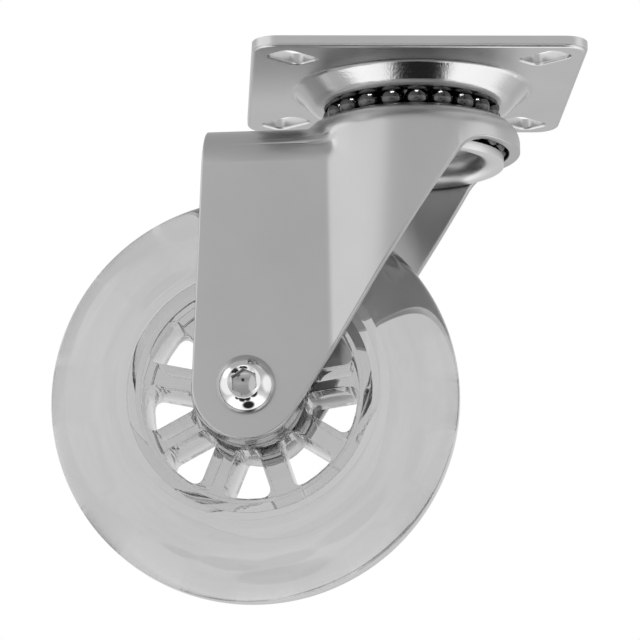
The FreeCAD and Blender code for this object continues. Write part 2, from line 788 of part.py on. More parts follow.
def make_axle_nut():
    """Lock nut outside the far leg: hexagon, collar and a groove for its nylon ring."""
    body = make_body("axle_nut")
    hexagon = make_sketch(body, "nut_hexagon", "XZ_Plane", "-leg_half_span")
    draw_hexagon(hexagon, "nut_width", "0")
    pad(body, hexagon, "nut_hex_height", reverse=True)
    trim = make_sketch(body, "nut_corner_trim", "XY_Plane")
    corner = "nut_width / sqrt(3)"
    flat = "nut_width / 2"
    far = "leg_half_span + nut_hex_height"
    for start, step in (("leg_half_span", "+"), (far, "-")):
        place = "%s %s nut_chamfer" % (start, step)
        beyond = "%s %s nut_margin" % (start, "-" if step == "+" else "+")
        outside = corner + " + nut_margin"
        corners = [(flat, start), (outside, place), (outside, beyond), (flat, beyond)]
        draw_path(trim, corners if step == "-" else corners[::-1])
    revolve(body, trim, "Groove")
    collar = make_sketch(body, "nut_collar", "XY_Plane")
    draw_path(collar, [
        ("axle_radius", far + " - nut_margin"),
        ("nut_collar_diameter / 2", far + " - nut_margin"),
        ("nut_collar_diameter / 2", "leg_half_span + nut_height - nut_lip"),
        ("nut_collar_diameter / 2 - nut_lip", "leg_half_span + nut_height"),
        ("axle_radius", "leg_half_span + nut_height"),
    ])
    revolve(body, collar)
    bore = make_sketch(body, "nut_bore", "XY_Plane")
    seat = "leg_half_span + nut_height - nut_lip - insert_height"
    draw_path(bore, [
        ("0", "leg_half_span - nut_margin"),
        ("axle_radius", "leg_half_span - nut_margin"),
        ("axle_radius", seat),
        ("insert_diameter / 2", seat),
        ("insert_diameter / 2", seat + " + insert_height"),
        ("axle_radius + nut_lip", seat + " + insert_height"),
        ("axle_radius + nut_lip", "leg_half_span + nut_height + nut_margin"),
        ("0", "leg_half_span + nut_height + nut_margin"),
    ])
    revolve(body, bore, "Groove")
    finish(body, "axle_nut", set_on_axle)


def make_nut_insert():
    """Nylon ring rolled into the nut, which grips the bolt."""
    seat = "leg_half_span + nut_height - nut_lip - insert_height"
    body = turned_body("nut_lock_ring", "XY_Plane", [
        ("axle_radius", seat),
        ("insert_diameter / 2", seat),
        ("insert_diameter / 2", seat + " + insert_height"),
        ("axle_radius", seat + " + insert_height"),
    ])
    finish(body, "nut_lock_ring", set_on_axle)


def across_axle(inner, outer, start, end):
    """Outline of a plain ring between two places along the axle."""
    return [(inner, start), (outer, start), (outer, end), (inner, end)]


def make_axle_washer(side, sign):
    """Washer between a leg and the bearing's inner ring."""
    places = sorted(["%shub_half_width" % sign, "%sleg_inner" % sign], key=num)
    inner = "axle_radius + washer_clearance"
    outline = across_axle(inner, "washer_diameter / 2", places[0], places[1])
    body = turned_body(side + "_axle_washer", "XY_Plane", outline)
    finish(body, side + "_axle_washer", set_on_axle)


def make_bearing_spacer():
    """Sleeve that keeps the two inner rings apart."""
    inner = "axle_radius + spacer_clearance"
    outline = across_axle(inner, "spacer_diameter / 2", "-bearing_inner_face", "bearing_inner_face")
    body = turned_body("bearing_spacer", "XY_Plane", outline)
    finish(body, "bearing_spacer", set_on_axle)


def make_bearing(side, sign):
    """One sealed ball bearing of the wheel: rings, balls, cage and two shields."""
    middle = "(%sbearing_middle)" % sign
    low, high = middle + " - bearing_width / 2", middle + " + bearing_width / 2"

    name = side + "_bearing_inner_ring"
    body = turned_body(name, "XY_Plane", [
        ("axle_radius", low),
        ("bearing_inner_land - bearing_chamfer", low),
        ("bearing_inner_land", low + " + bearing_chamfer"),
        ("bearing_inner_land", high + " - bearing_chamfer"),
        ("bearing_inner_land - bearing_chamfer", high),
        ("axle_radius", high),
    ])
    cut_ring(body, name + "_race", "XY_Plane", "bearing_pitch_radius", middle, "bearing_race_radius")
    finish(body, name, set_on_axle)

    name = side + "_bearing_outer_ring"
    outside = "bearing_diameter / 2"
    seat = "(shield_inset + shield_thickness)"
    body = turned_body(name, "XY_Plane", [
        ("shield_radius", low),
        (outside + " - bearing_chamfer", low),
        (outside, low + " + bearing_chamfer"),
        (outside, high + " - bearing_chamfer"),
        (outside + " - bearing_chamfer", high),
        ("shield_radius", high),
        ("shield_radius", high + " - " + seat),
        ("bearing_outer_land", high + " - " + seat),
        ("bearing_outer_land", low + " + " + seat),
        ("shield_radius", low + " + " + seat),
    ])
    cut_ring(body, name + "_race", "XY_Plane", "bearing_pitch_radius", middle, "bearing_race_radius")
    finish(body, name, set_on_axle)

    name = side + "_bearing_balls"
    body = make_body(name)
    sketch = make_sketch(body, name + "_half", "XZ_Plane", "-" + middle)
    draw_half_ball(sketch, "bearing_ball_diameter / 2")
    bind(sketch, "AttachmentOffset.Base.x", "bearing_pitch_radius")
    feature = revolve(body, sketch)
    repeat_round(body, [feature], "Y_Axis", "bearing_ball_count")
    finish(body, name, set_on_axle)

    name = side + "_bearing_cage"
    half_wall = "cage_wall / 2"
    outline = across_axle("bearing_pitch_radius - " + half_wall, "bearing_pitch_radius + " + half_wall,
                          middle + " - cage_width / 2", middle + " + cage_width / 2")
    body = turned_body(name, "XY_Plane", outline)
    sketch = make_sketch(body, name + "_cell", "XZ_Plane", "-" + middle)
    draw_half_ball(sketch, "(bearing_ball_diameter / 2 + cage_clearance)")
    bind(sketch, "AttachmentOffset.Base.x", "bearing_pitch_radius")
    feature = revolve(body, sketch, "Groove")
    repeat_round(body, [feature], "Y_Axis", "bearing_ball_count")
    finish(body, name, set_on_axle)

    for end, start in (("low", low + " + shield_inset"), ("high", high + " - " + seat)):
        outer_end = (end == "low") == (sign == "-")
        name = "%s_bearing_%s_shield" % (side, "outer" if outer_end else "inner")
        outline = across_axle("bearing_inner_land + shield_gap", "shield_radius",
                              start, start + " + shield_thickness")
        body = turned_body(name, "XY_Plane", outline)
        finish(body, name, set_on_axle)


def make_wheel_core():
    """Clear moulded hub and rim joined by nine flat spokes."""
    body = turned_body("wheel_core", "XY_Plane", [
        ("hub_stop_radius", "-bearing_inner_face"),
        ("bearing_diameter / 2", "-bearing_inner_face"),
        ("bearing_diameter / 2", "-hub_half_width"),
        ("hub_radius", "-hub_half_width"),
        ("hub_radius", "-web_half_width"),
        ("window_radius + rim_margin", "-web_half_width"),
        ("rim_step_radius", "-rim_half_width"),
        ("tyre_bond_radius", "-rim_half_width"),
        ("tyre_bond_radius", "rim_half_width"),
        ("rim_step_radius", "rim_half_width"),
        ("window_radius + rim_margin", "web_half_width"),
        ("hub_radius", "web_half_width"),
        ("hub_radius", "hub_half_width"),
        ("bearing_diameter / 2", "hub_half_width"),
        ("bearing_diameter / 2", "bearing_inner_face"),
        ("hub_stop_radius", "bearing_inner_face"),
    ])
    window = make_sketch(body, "core_window", "XZ_Plane")
    # The window lies between two spoke centre lines, half a spoke width inside each
    half_step = "(180 deg / window_count)"

    def side_point(radius, sign):
        angle = "(window_angle * 1 deg %s (%s - asin(spoke_width / 2 / %s)))" % (sign, half_step, radius)
        return ("%s * cos(%s)" % (radius, angle), "%s * sin(%s)" % (radius, angle))

    draw_path(window, [
        side_point("window_hub_radius", "+") + ("window_hub_radius", -1),
        side_point("window_hub_radius", "-"),
        side_point("window_radius", "-") + ("window_radius", 1),
        side_point("window_radius", "+"),
    ])
    cut = pocket(body, window, both_ways=True)
    base = repeat_round(body, [cut], "Y_Axis", "window_count")

    def window_corner(radius):
        def test(edge):
            if not isinstance(edge.Curve, Part.Line):
                return False
            place = edge.CenterOfMass
            along = abs(edge.tangentAt(edge.FirstParameter).y) > 0.99
            return along and abs(math.hypot(place.x, place.z) - num(radius)) < 1e-3
        return test

    base = soften(body, base, edges_where(base, window_corner("window_radius")), "window_round")
    soften(body, base, edges_where(base, window_corner("window_hub_radius")), "window_foot_round")
    finish(body, "wheel_core", set_on_axle)


def make_tyre():
    """Thick clear tyre with a round tread, moulded on the core's rim."""
    side = "tyre_section_radius"
    body = turned_body("tyre", "XY_Plane", [
        ("tyre_bond_radius", "-tyre_half_bond"),
        ("tyre_centre_radius", "-" + side, side, 1),
        ("wheel_radius", "0", side, 1),
        ("tyre_centre_radius", side),
        ("tyre_bond_radius", "tyre_half_bond"),
    ])
    finish(body, "tyre", set_on_axle)


def check_and_write():
    """Stop on any failed object or shape, then write one file for each piece."""
    doc.recompute()
    for item in doc.Objects:
        if "Invalid" in item.State or "Error" in item.State:
            raise RuntimeError("failed: " + item.Label)
    os.makedirs("parts", exist_ok=True)
    for piece in PARTS:
        shape = piece.Shape
        if shape.isNull() or not shape.isValid() or not shape.Solids:
            raise RuntimeError("bad shape: " + piece.Label)
    for piece in PARTS:
        piece.Shape.exportStep("parts/%s.step" % piece.Label)
        print(piece.Label, len(piece.Shape.Solids), round(piece.Shape.Volume, 1))


sheet = make_sheet()
make_top_plate()
make_kingpin()
make_lower_cup()
make_ball_ring("upper_balls", "upper_ring_radius", "upper_ball_depth", "upper_ball_count")
make_ball_ring("lower_balls", "lower_ring_radius", "lower_ball_depth", "lower_ball_count")
make_fork()
make_axle_bolt()
make_axle_nut()
make_nut_insert()
make_bearing_spacer()
for bearing_side, bearing_sign in (("near", "-"), ("far", "+")):
    make_axle_washer(bearing_side, bearing_sign)
    make_bearing(bearing_side, bearing_sign)
make_wheel_core()
make_tyre()
check_and_write()
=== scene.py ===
"""Furniture castor: finishes, clear wheel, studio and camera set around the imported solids.

Lengths are in metres in the frame of the solids: the origin is the centre of the plate's top face,
on the swivel axis, with Z up and Y away from the camera. Angles are in degrees, unless a text says
that they are in radians.
"""

import logging
from collections.abc import Iterable
from dataclasses import dataclass
from enum import Enum
from math import asin, atan2, cos, degrees, hypot, pi, radians, sin, sqrt

import bmesh
import bpy
from bpy.types import Material, Node, NodeSocket, Object
from mathutils import Matrix, Vector


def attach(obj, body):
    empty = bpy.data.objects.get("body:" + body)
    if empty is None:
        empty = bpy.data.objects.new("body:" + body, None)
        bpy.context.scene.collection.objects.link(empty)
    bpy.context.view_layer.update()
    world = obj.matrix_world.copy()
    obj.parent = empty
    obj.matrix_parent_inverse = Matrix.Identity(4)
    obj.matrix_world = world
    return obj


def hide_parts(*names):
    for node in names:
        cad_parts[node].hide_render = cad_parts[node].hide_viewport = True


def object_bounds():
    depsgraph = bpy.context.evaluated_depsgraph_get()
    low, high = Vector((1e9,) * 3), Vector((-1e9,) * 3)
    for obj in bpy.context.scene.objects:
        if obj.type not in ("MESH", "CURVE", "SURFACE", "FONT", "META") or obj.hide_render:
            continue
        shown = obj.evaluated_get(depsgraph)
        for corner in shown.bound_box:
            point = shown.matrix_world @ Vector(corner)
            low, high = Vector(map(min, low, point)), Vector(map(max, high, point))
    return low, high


logging.basicConfig(level=logging.INFO, format="%(levelname)s %(message)s")
LOG = logging.getLogger("furniture_castor")

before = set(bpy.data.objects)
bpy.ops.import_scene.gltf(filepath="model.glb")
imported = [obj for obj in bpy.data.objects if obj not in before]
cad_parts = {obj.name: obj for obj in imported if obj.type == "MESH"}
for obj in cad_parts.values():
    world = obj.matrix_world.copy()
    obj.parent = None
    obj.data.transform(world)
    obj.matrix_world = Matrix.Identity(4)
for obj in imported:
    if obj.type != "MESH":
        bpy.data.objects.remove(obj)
CAD_BOX = [list(corner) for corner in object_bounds()]

Point = tuple[float, float]
Value = NodeSocket | float | tuple | Vector

SAME_PLACE = 1e-7  # ends of a traced line that fall on each other
SEAM = 1e-6  # vertices on both sides of a spun seam
SLIVER = 2e-6  # smallest detail that a cut may leave
NEAR = 1e-5  # tolerance when vertices are looked up by their place

# Each set of polishing scratches: how the noise is stretched, and its turn in radians.
SCRATCHES = (((1.0, 1.0, 0.06), 0.4), ((0.08, 1.0, 1.0), 1.3))


class Body(Enum):
    """The moving bodies that the pieces made here ride on."""

    FORK = "swivel_fork"
    WHEEL = "wheel"


class NodeTree:
    """Adds nodes to one node tree and links them.

    Args:
        tree: The node tree to fill.
    """

    def __init__(self, tree: bpy.types.NodeTree) -> None:
        self.tree = tree

    def feed(self, sockets: Iterable[NodeSocket], values: Iterable[Value]) -> None:
        """Link or set input sockets in order.

        Args:
            sockets: The input sockets.
            values: For each of them an output socket to link or a plain value.
        """
        for socket, value in zip(sockets, values):
            if isinstance(value, NodeSocket):
                self.tree.links.new(value, socket)
            else:
                socket.default_value = value

    def set(self, node: Node, **inputs: Value) -> None:
        """Link or set a node's inputs by name, with an underscore for each space in it."""
        self.feed([node.inputs[key.replace("_", " ")] for key in inputs], inputs.values())

    def add(self, kind: str, settings: dict | None = None, values: tuple = (),
            **inputs: Value) -> Node:
        """Add one node.

        Args:
            kind: The node's type name.
            settings: Plain properties of the node.
            values: Its first inputs in order, as for feed.
            **inputs: Its inputs by name, as for set.

        Returns:
            The new node.
        """
        node = self.tree.nodes.new(kind)
        for key, value in (settings or {}).items():
            setattr(node, key, value)
        self.feed(node.inputs, values)
        self.set(node, **inputs)
        return node

    def maths(self, operation: str, *values: Value, clamp: bool = False) -> NodeSocket:
        """Combine numbers; the result can be kept between 0 and 1."""
        settings = {"operation": operation, "use_clamp": clamp}
        return self.add("ShaderNodeMath", settings, values).outputs[0]

    def vectors(self, operation: str, *values: Value) -> bpy.types.bpy_prop_collection:
        """Combine vectors; the outputs are Vector and Value."""
        return self.add("ShaderNodeVectorMath", {"operation": operation}, values).outputs

    def mean(self, first: Value, second: Value) -> NodeSocket:
        """The mean of two numbers."""
        return self.maths("MULTIPLY", self.maths("ADD", first, second), 0.5)

    def mix(self, mask: NodeSocket, first: Value, second: Value) -> NodeSocket:
        """Blend from the first number, where the mask is 0, to the second, where it is 1."""
        return self.add("ShaderNodeMix", {"data_type": "FLOAT"}, Factor=mask, A=first,
                        B=second).outputs["Result"]

    def spread(self, mask: NodeSocket, middle: float, reach: float) -> NodeSocket:
        """Map a mask from 0..1 to a range on both sides of a middle value."""
        low, high = middle - reach, middle + reach
        return self.add("ShaderNodeMapRange", Value=mask, To_Min=low, To_Max=high).outputs["Result"]

    def step(self, value: NodeSocket, low: float, high: float) -> NodeSocket:
        """Mask that rises smoothly from 0 at the low value to 1 at the high one."""
        return self.add("ShaderNodeMapRange", {"interpolation_type": "SMOOTHSTEP"}, Value=value,
                        From_Min=low, From_Max=high).outputs["Result"]

    def noise(self, place: NodeSocket, scale: Value, detail: float, roughness: float) -> NodeSocket:
        """Cloudy noise between 0 and 1."""
        return self.add("ShaderNodeTexNoise", Vector=place, Scale=scale, Detail=detail,
                        Roughness=roughness).outputs["Fac"]

    def bump(self, height: NodeSocket) -> NodeSocket:
        """Normals of a surface with this height, in metres."""
        return self.add("ShaderNodeBump", Strength=1.0, Distance=1.0, Height=height).outputs[0]


@dataclass(frozen=True)
class Axle:
    """The wheel's axle: pieces are made about the Y axis and then set on it.

    Args:
        trail: Its distance behind the swivel axis.
        depth: Its depth below the plate's top face.
        turn: Turn of the fork about the swivel axis.
    """

    trail: float = 0.02945
    depth: float = 0.0595
    turn: float = -7.23

    def centre(self) -> Vector:
        """The axle's middle."""
        turn = radians(self.turn)
        return Vector((-self.trail * cos(turn), -self.trail * sin(turn), -self.depth))

    def carry(self, piece: Object) -> None:
        """Move and turn a piece that was made about the Y axis onto the axle."""
        piece.rotation_euler.z, piece.location = radians(self.turn), self.centre()
        settle(piece)


AXLE = Axle()


def new_group(name: str, inputs: dict[str, float],
              outputs: list[str]) -> tuple[NodeTree, Node, Node]:
    """Start a shared node group with numbers in and masks out.

    Args:
        name: The group's name.
        inputs: The names and first values of its inputs.
        outputs: The names of its outputs.

    Returns:
        A helper that fills it, and its input and output nodes.
    """
    group = bpy.data.node_groups.new(name, "ShaderNodeTree")
    for key, value in inputs.items():
        socket = group.interface.new_socket(key, in_out="INPUT", socket_type="NodeSocketFloat")
        socket.default_value = value
    for key in outputs:
        group.interface.new_socket(key, in_out="OUTPUT", socket_type="NodeSocketFloat")
    nodes = NodeTree(group)
    return nodes, nodes.add("NodeGroupInput"), nodes.add("NodeGroupOutput")


def make_grain_group() -> bpy.types.NodeTree:
    """Polishing grain: fine scratches crossed over soft cloudy patches.

    Returns:
        The node group, with Grain and Cloud masks out.
    """
    nodes, start, end = new_group("polish_grain", {"Scale": 400.0, "Cloud Scale": 60.0},
                                  ["Grain", "Cloud"])
    place = nodes.add("ShaderNodeTexCoord").outputs["Object"]
    layers = []
    for stretch, turn in SCRATCHES:
        drawn = nodes.add("ShaderNodeMapping", Vector=place, Scale=stretch,
                          Rotation=(turn, turn / 2, 0.0))
        layers.append(nodes.noise(drawn.outputs[0], start.outputs["Scale"], detail=3.0,
                                  roughness=0.6))
    cloud = nodes.noise(place, start.outputs["Cloud Scale"], detail=4.0, roughness=0.55)
    nodes.set(end, Grain=nodes.mean(*layers), Cloud=cloud)
    return nodes.tree


def make_edge_highlight_group() -> bpy.types.NodeTree:
    """Mask of edges for a painted highlight, from how far a rounded normal leans from the true one.

    Returns:
        The node group, with an Edge mask out.
    """
    nodes, start, end = new_group("edge_painted_highlight", {"Radius": 0.0004, "Sharpness": 6.0}, ["Edge"])
    rounded = nodes.add("ShaderNodeBevel", {"samples": 6}, Radius=start.outputs["Radius"])
    surface = nodes.add("ShaderNodeNewGeometry")
    along = nodes.vectors("DOT_PRODUCT", rounded.outputs[0], surface.outputs["Normal"])["Value"]
    lean = nodes.maths("SUBTRACT", 1.0, along)
    nodes.set(end, Edge=nodes.maths("MULTIPLY", lean, start.outputs["Sharpness"], clamp=True))
    return nodes.tree


def make_painted_shade_group() -> bpy.types.NodeTree:
    """Mask of painted shade: narrow recesses darken where ambient occlusion finds the surface
    closed in.

    Returns:
        The node group, with a Recess mask out.
    """
    nodes, start, end = new_group("painted_recess_shade", {"Distance": 0.002, "Depth": 1.6}, ["Recess"])
    openness = nodes.add("ShaderNodeAmbientOcclusion", {"samples": 8},
                         Distance=start.outputs["Distance"])
    closed = nodes.maths("SUBTRACT", 1.0, openness.outputs["AO"])
    nodes.set(end, Recess=nodes.maths("MULTIPLY", closed, start.outputs["Depth"], clamp=True))
    return nodes.tree


def make_flow_group() -> bpy.types.NodeTree:
    """Flow marks of the turned mouldings: noise drawn out round the wheel's axle.

    Returns:
        The node group, with a Rings and a Cloud mask out.
    """
    nodes, start, end = new_group("moulded_flow", {"Ring Scale": 900.0, "Cloud Scale": 60.0},
                                  ["Rings", "Cloud"])
    place = nodes.add("ShaderNodeTexCoord").outputs["Object"]
    axle = nodes.add("ShaderNodeMapping", {"vector_type": "TEXTURE"}, Vector=place,
                     Location=AXLE.centre(), Rotation=(0.0, 0.0, radians(AXLE.turn)))
    split = nodes.add("ShaderNodeSeparateXYZ", Vector=axle.outputs[0]).outputs
    squares = [nodes.maths("MULTIPLY", split[name], split[name]) for name in "XZ"]
    radius = nodes.maths("SQRT", nodes.maths("ADD", *squares))
    turn = nodes.maths("ARCTAN2", split["Z"], split["X"])
    polar = nodes.add("ShaderNodeCombineXYZ",
                      X=nodes.maths("MULTIPLY", radius, start.outputs["Ring Scale"]),
                      Y=nodes.maths("SINE", turn), Z=nodes.maths("COSINE", turn))
    rings = nodes.noise(polar.outputs[0], scale=1.0, detail=3.0, roughness=0.55)
    cloud = nodes.noise(place, start.outputs["Cloud Scale"], detail=2.0, roughness=0.4)
    nodes.set(end, Rings=rings, Cloud=cloud)
    return nodes.tree


GRAIN = make_grain_group()
EDGE_HIGHLIGHT = make_edge_highlight_group()
PAINTED_SHADE = make_painted_shade_group()
FLOW = make_flow_group()


def new_material(name: str, **inputs: Value) -> tuple[Material, NodeTree, Node]:
    """Start a material.

    Args:
        name: The material's name.
        **inputs: The values of its shader that are the same all over.

    Returns:
        The material, a helper that fills its nodes, and its shader.
    """
    material = bpy.data.materials.new(name)
    material.use_nodes = True
    nodes = NodeTree(material.node_tree)
    shader = material.node_tree.nodes["Principled BSDF"]
    nodes.set(shader, **inputs)
    return material, nodes, shader


@dataclass(frozen=True)
class Finish:
    """What every finish has.

    Args:
        name: The material's name.
        grey: How much light it reflects, or lets through where it is clear.
        grey_spread: How much that drifts over the surface.
        roughness: Its mean roughness.
        roughness_spread: How much the roughness drifts over the surface.
        grain_scale: Fineness of its grain.
        grain_height: Height of its grain.
        wave_height: Height of the soft waviness of its surface.
    """

    name: str
    grey: float
    grey_spread: float = 0.04
    roughness: float = 0.2
    roughness_spread: float = 0.08
    grain_scale: float = 900.0
    grain_height: float = 0.0000004
    wave_height: float = 0.0


@dataclass(frozen=True)
class Metal(Finish):
    """Plated or polished steel.

    Args:
        edge_highlight_grey: Reflectance along edges, raised there as a painted highlight.
        painted_shade_grey: Reflectance painted into narrow recesses as shade.
        painted_shade_depth: How strongly that painted shade darkens them.
        painted_shade_distance: Width of the recesses that get painted shade.
        burnish_radius: How far round the swivel axis the die burnished the sheet, or 0.
        burnish_fade: Half the width over which that ends.
        burnish_roughness: Roughness of the burnished part.
    """

    edge_highlight_grey: float = 0.85
    painted_shade_grey: float = 0.25
    painted_shade_depth: float = 0.1
    painted_shade_distance: float = 0.002
    burnish_radius: float = 0.0
    burnish_fade: float = 0.0006
    burnish_roughness: float = 0.12

    def build(self) -> Material:
        """Make the material.

        Returns:
            The finished material.
        """
        material, nodes, shader = new_material(self.name, Metallic=1.0)
        grain = nodes.add("ShaderNodeGroup", {"node_tree": GRAIN}, Scale=self.grain_scale).outputs
        # Painted highlight: a brighter base colour along edges stands for the glints on them.
        edge = nodes.add("ShaderNodeGroup", {"node_tree": EDGE_HIGHLIGHT}).outputs["Edge"]
        # Painted shade: the base colour darkens in narrow recesses, where ambient occlusion finds
        # the surface closed in.
        painted_shade = nodes.add("ShaderNodeGroup", {"node_tree": PAINTED_SHADE}, Depth=self.painted_shade_depth,
                           Distance=self.painted_shade_distance).outputs["Recess"]
        grey = nodes.spread(grain["Cloud"], self.grey, self.grey_spread)
        grey = nodes.mix(painted_shade, nodes.mix(edge, grey, self.edge_highlight_grey), self.painted_shade_grey)
        mixed = nodes.mean(grain["Grain"], grain["Cloud"])
        roughness = nodes.spread(mixed, self.roughness, self.roughness_spread)
        if self.burnish_radius:
            roughness = self.burnish(nodes, roughness)
        height = nodes.maths("MULTIPLY", grain["Grain"], self.grain_height)
        if self.wave_height:
            swell = nodes.maths("MULTIPLY", grain["Cloud"], self.wave_height)
            height = nodes.maths("ADD", height, swell)
        nodes.set(shader, Base_Color=grey, Roughness=roughness, Normal=nodes.bump(height))
        return material

    def burnish(self, nodes: NodeTree, roughness: NodeSocket) -> NodeSocket:
        """Smooth the drawn middle of the sheet.

        Args:
            nodes: The material's nodes.
            roughness: The roughness outside.

        Returns:
            The roughness all over.
        """
        place = nodes.add("ShaderNodeTexCoord").outputs["Object"]
        level = nodes.vectors("MULTIPLY", place, (1.0, 1.0, 0.0))["Vector"]
        outside = nodes.step(nodes.vectors("LENGTH", level)["Value"],
                             self.burnish_radius - self.burnish_fade,
                             self.burnish_radius + self.burnish_fade)
        return nodes.mix(outside, self.burnish_roughness, roughness)


@dataclass(frozen=True)
class ClearPlastic(Finish):
    """Clear, faintly smoky plastic, with flow rings round the axle for its grain.

    Args:
        index: Refractive index.
    """

    grey_spread: float = 0.06
    grain_height: float = 0.000005
    wave_height: float = 0.000016
    index: float = 1.49

    def build(self) -> Material:
        """Make the material.

        Returns:
            The finished material.
        """
        material, nodes, shader = new_material(
            self.name, Transmission_Weight=1.0, IOR=self.index, Roughness=self.roughness)
        flow = nodes.add("ShaderNodeGroup", {"node_tree": FLOW}).outputs
        mixed = nodes.mean(flow["Rings"], flow["Cloud"])
        nodes.set(shader, Base_Color=nodes.spread(mixed, self.grey, self.grey_spread))
        if self.grain_height or self.wave_height:
            rings = nodes.maths("MULTIPLY", flow["Rings"], self.grain_height)
            cloud = nodes.maths("MULTIPLY", flow["Cloud"], self.wave_height)
            nodes.set(shader, Normal=nodes.bump(nodes.maths("ADD", rings, cloud)))
        return material


@dataclass(frozen=True)
class Nylon(Finish):
    """Off-white nylon of the nut's locking ring."""

    def build(self) -> Material:
        """Make the material.

        Returns:
            The finished material.
        """
        material, nodes, shader = new_material(self.name)
        grain = nodes.add("ShaderNodeGroup", {"node_tree": GRAIN}, Scale=self.grain_scale).outputs
        height = nodes.maths("MULTIPLY", grain["Grain"], self.grain_height)
        nodes.set(shader, Base_Color=nodes.spread(grain["Cloud"], self.grey, self.grey_spread),
                  Roughness=nodes.spread(grain["Grain"], self.roughness, self.roughness_spread),
                  Normal=nodes.bump(height))
        return material


@dataclass(frozen=True)
class Finishes:
    """Every finish of the castor, and which solids have it."""

    plated: Metal = Metal(
        "plated_steel", grey=0.64, roughness=0.3, roughness_spread=0.05, wave_height=0.00003,
        grain_scale=2700.0, grain_height=0.000036, burnish_radius=0.0222)
    cup: Metal = Metal(
        "plated_cup", grey=0.8, roughness=0.32, roughness_spread=0.06, wave_height=0.00002)
    satin: Metal = Metal(
        "satin_steel", grey=0.56, roughness=0.3, roughness_spread=0.04, wave_height=0.00001)
    # Bright, bearing and race steel get stronger painted shade in their recesses than the other
    # metals.
    bright: Metal = Metal(
        "bright_steel", grey=0.78, roughness=0.07, roughness_spread=0.03, painted_shade_grey=0.03,
        painted_shade_depth=0.8, painted_shade_distance=0.006)
    # The swivel balls' low grey is painted shade for their narrow, dark gap.
    bearing: Metal = Metal(
        "bearing_steel", grey=0.15, roughness=0.1, roughness_spread=0.04, painted_shade_grey=0.03,
        painted_shade_depth=1.2)
    race: Metal = Metal(
        "race_steel", grey=0.62, roughness=0.16, roughness_spread=0.05, painted_shade_depth=0.3)
    cage: Metal = Metal("cage_steel", grey=0.42, roughness=0.35, roughness_spread=0.1)
    nylon: Nylon = Nylon(
        "nylon", grey=0.7, grey_spread=0.06, roughness=0.475, roughness_spread=0.125,
        grain_scale=1500.0, grain_height=0.000004)
    core: ClearPlastic = ClearPlastic("clear_core", grey=0.49, roughness=0.03)
    tyre: ClearPlastic = ClearPlastic("clear_tyre", grey=0.56, roughness=0.04, index=1.48)
    bond: ClearPlastic = ClearPlastic(
        "clear_bond", grey=1.0, grey_spread=0.0, roughness=0.0, grain_height=0.0, wave_height=0.0,
        index=1.0)

    def dress_solids(self) -> dict[str, Material]:
        """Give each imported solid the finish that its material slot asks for.

        Returns:
            The materials by slot name.
        """
        made = {finish.name: finish.build() for finish in vars(self).values()}
        special = {name: self.race.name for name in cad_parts
                   if "_bearing_" in name and not name.endswith("_cage")}
        special["lower_race_cup"] = self.cup.name
        for name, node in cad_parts.items():
            for slot in node.material_slots:
                slot.material = made[special.get(name, slot.material.name.split(".")[0])]
            LOG.info("%s wears %s", name, node.material_slots[0].material.name)
        return made


def select_only(*pieces: Object) -> None:
    """Select these pieces alone, the first as the active one."""
    bpy.ops.object.select_all(action="DESELECT")
    for piece in pieces:
        piece.select_set(True)
    bpy.context.view_layer.objects.active = pieces[0]


def settle(piece: Object) -> None:
    """Leave edit mode with only this piece selected and its place inside its mesh."""
    bpy.ops.object.mode_set(mode="OBJECT")
    select_only(piece)
    bpy.ops.object.transform_apply(location=True, rotation=True, scale=True)


def merge_near(size: float) -> None:
    """In edit mode, merge all vertices that lie closer together than this size."""
    bpy.ops.mesh.select_all(action="SELECT")
    bpy.ops.mesh.remove_doubles(threshold=size)


def face_outwards() -> None:
    """In edit mode, turn every face outwards."""
    bpy.ops.mesh.select_all(action="SELECT")
    bpy.ops.mesh.normals_make_consistent(inside=False)


def trace(name: str, points: list[Vector], closed: bool = True) -> Object:
    """Draw a line by extruding one vertex from place to place, and stay in edit mode.

    Args:
        name: The new object's name.
        points: The places.
        closed: Whether the last one is joined to the first.

    Returns:
        The object, with the whole line selected.
    """
    bpy.ops.mesh.primitive_plane_add(size=0.001, location=points[0])
    piece = bpy.context.active_object
    piece.name = piece.data.name = name
    bpy.ops.object.mode_set(mode="EDIT")
    bpy.ops.mesh.select_all(action="SELECT")
    bpy.ops.mesh.merge(type="CENTER")
    for start, end in zip(points, points[1:] + (points[:1] if closed else [])):
        bpy.ops.mesh.extrude_vertices_move(TRANSFORM_OT_translate={"value": end - start})
    merge_near(SAME_PLACE)
    return piece


def arc_points(centre: Point, radius: float, start: float, end: float, steps: int) -> list[Point]:
    """Places along an arc, both ends included.

    Args:
        centre: The arc's centre.
        radius: Its radius.
        start: The angle where it starts.
        end: The angle where it ends.
        steps: How many parts it has.

    Returns:
        The places.
    """
    angles = [radians(start + (end - start) * step / steps) for step in range(steps + 1)]
    return [(centre[0] + radius * cos(angle), centre[1] + radius * sin(angle))
            for angle in angles]


def turn_solid(name: str, outline: list[Point], steps: int, closed: bool = True) -> Object:
    """Spin an outline a full circle about the Y axis.

    Args:
        name: The new object's name.
        outline: Its corners as radius and place along the axle.
        steps: Number of parts round it.
        closed: Whether it is a ring, not a line from the axis to the axis.

    Returns:
        The solid.
    """
    piece = trace(name, [Vector((radius, place, 0.0)) for radius, place in outline], closed)
    bpy.ops.mesh.spin(steps=steps, angle=2.0 * pi, center=(0.0, 0.0, 0.0), axis=(0.0, 1.0, 0.0))
    merge_near(SEAM)
    face_outwards()
    settle(piece)
    return piece


def duplicate(piece: Object) -> Object:
    """Copy a piece and its mesh into the scene.

    Args:
        piece: The piece.

    Returns:
        The copy.
    """
    copy = piece.copy()
    copy.data = piece.data.copy()
    bpy.context.scene.collection.objects.link(copy)
    return copy


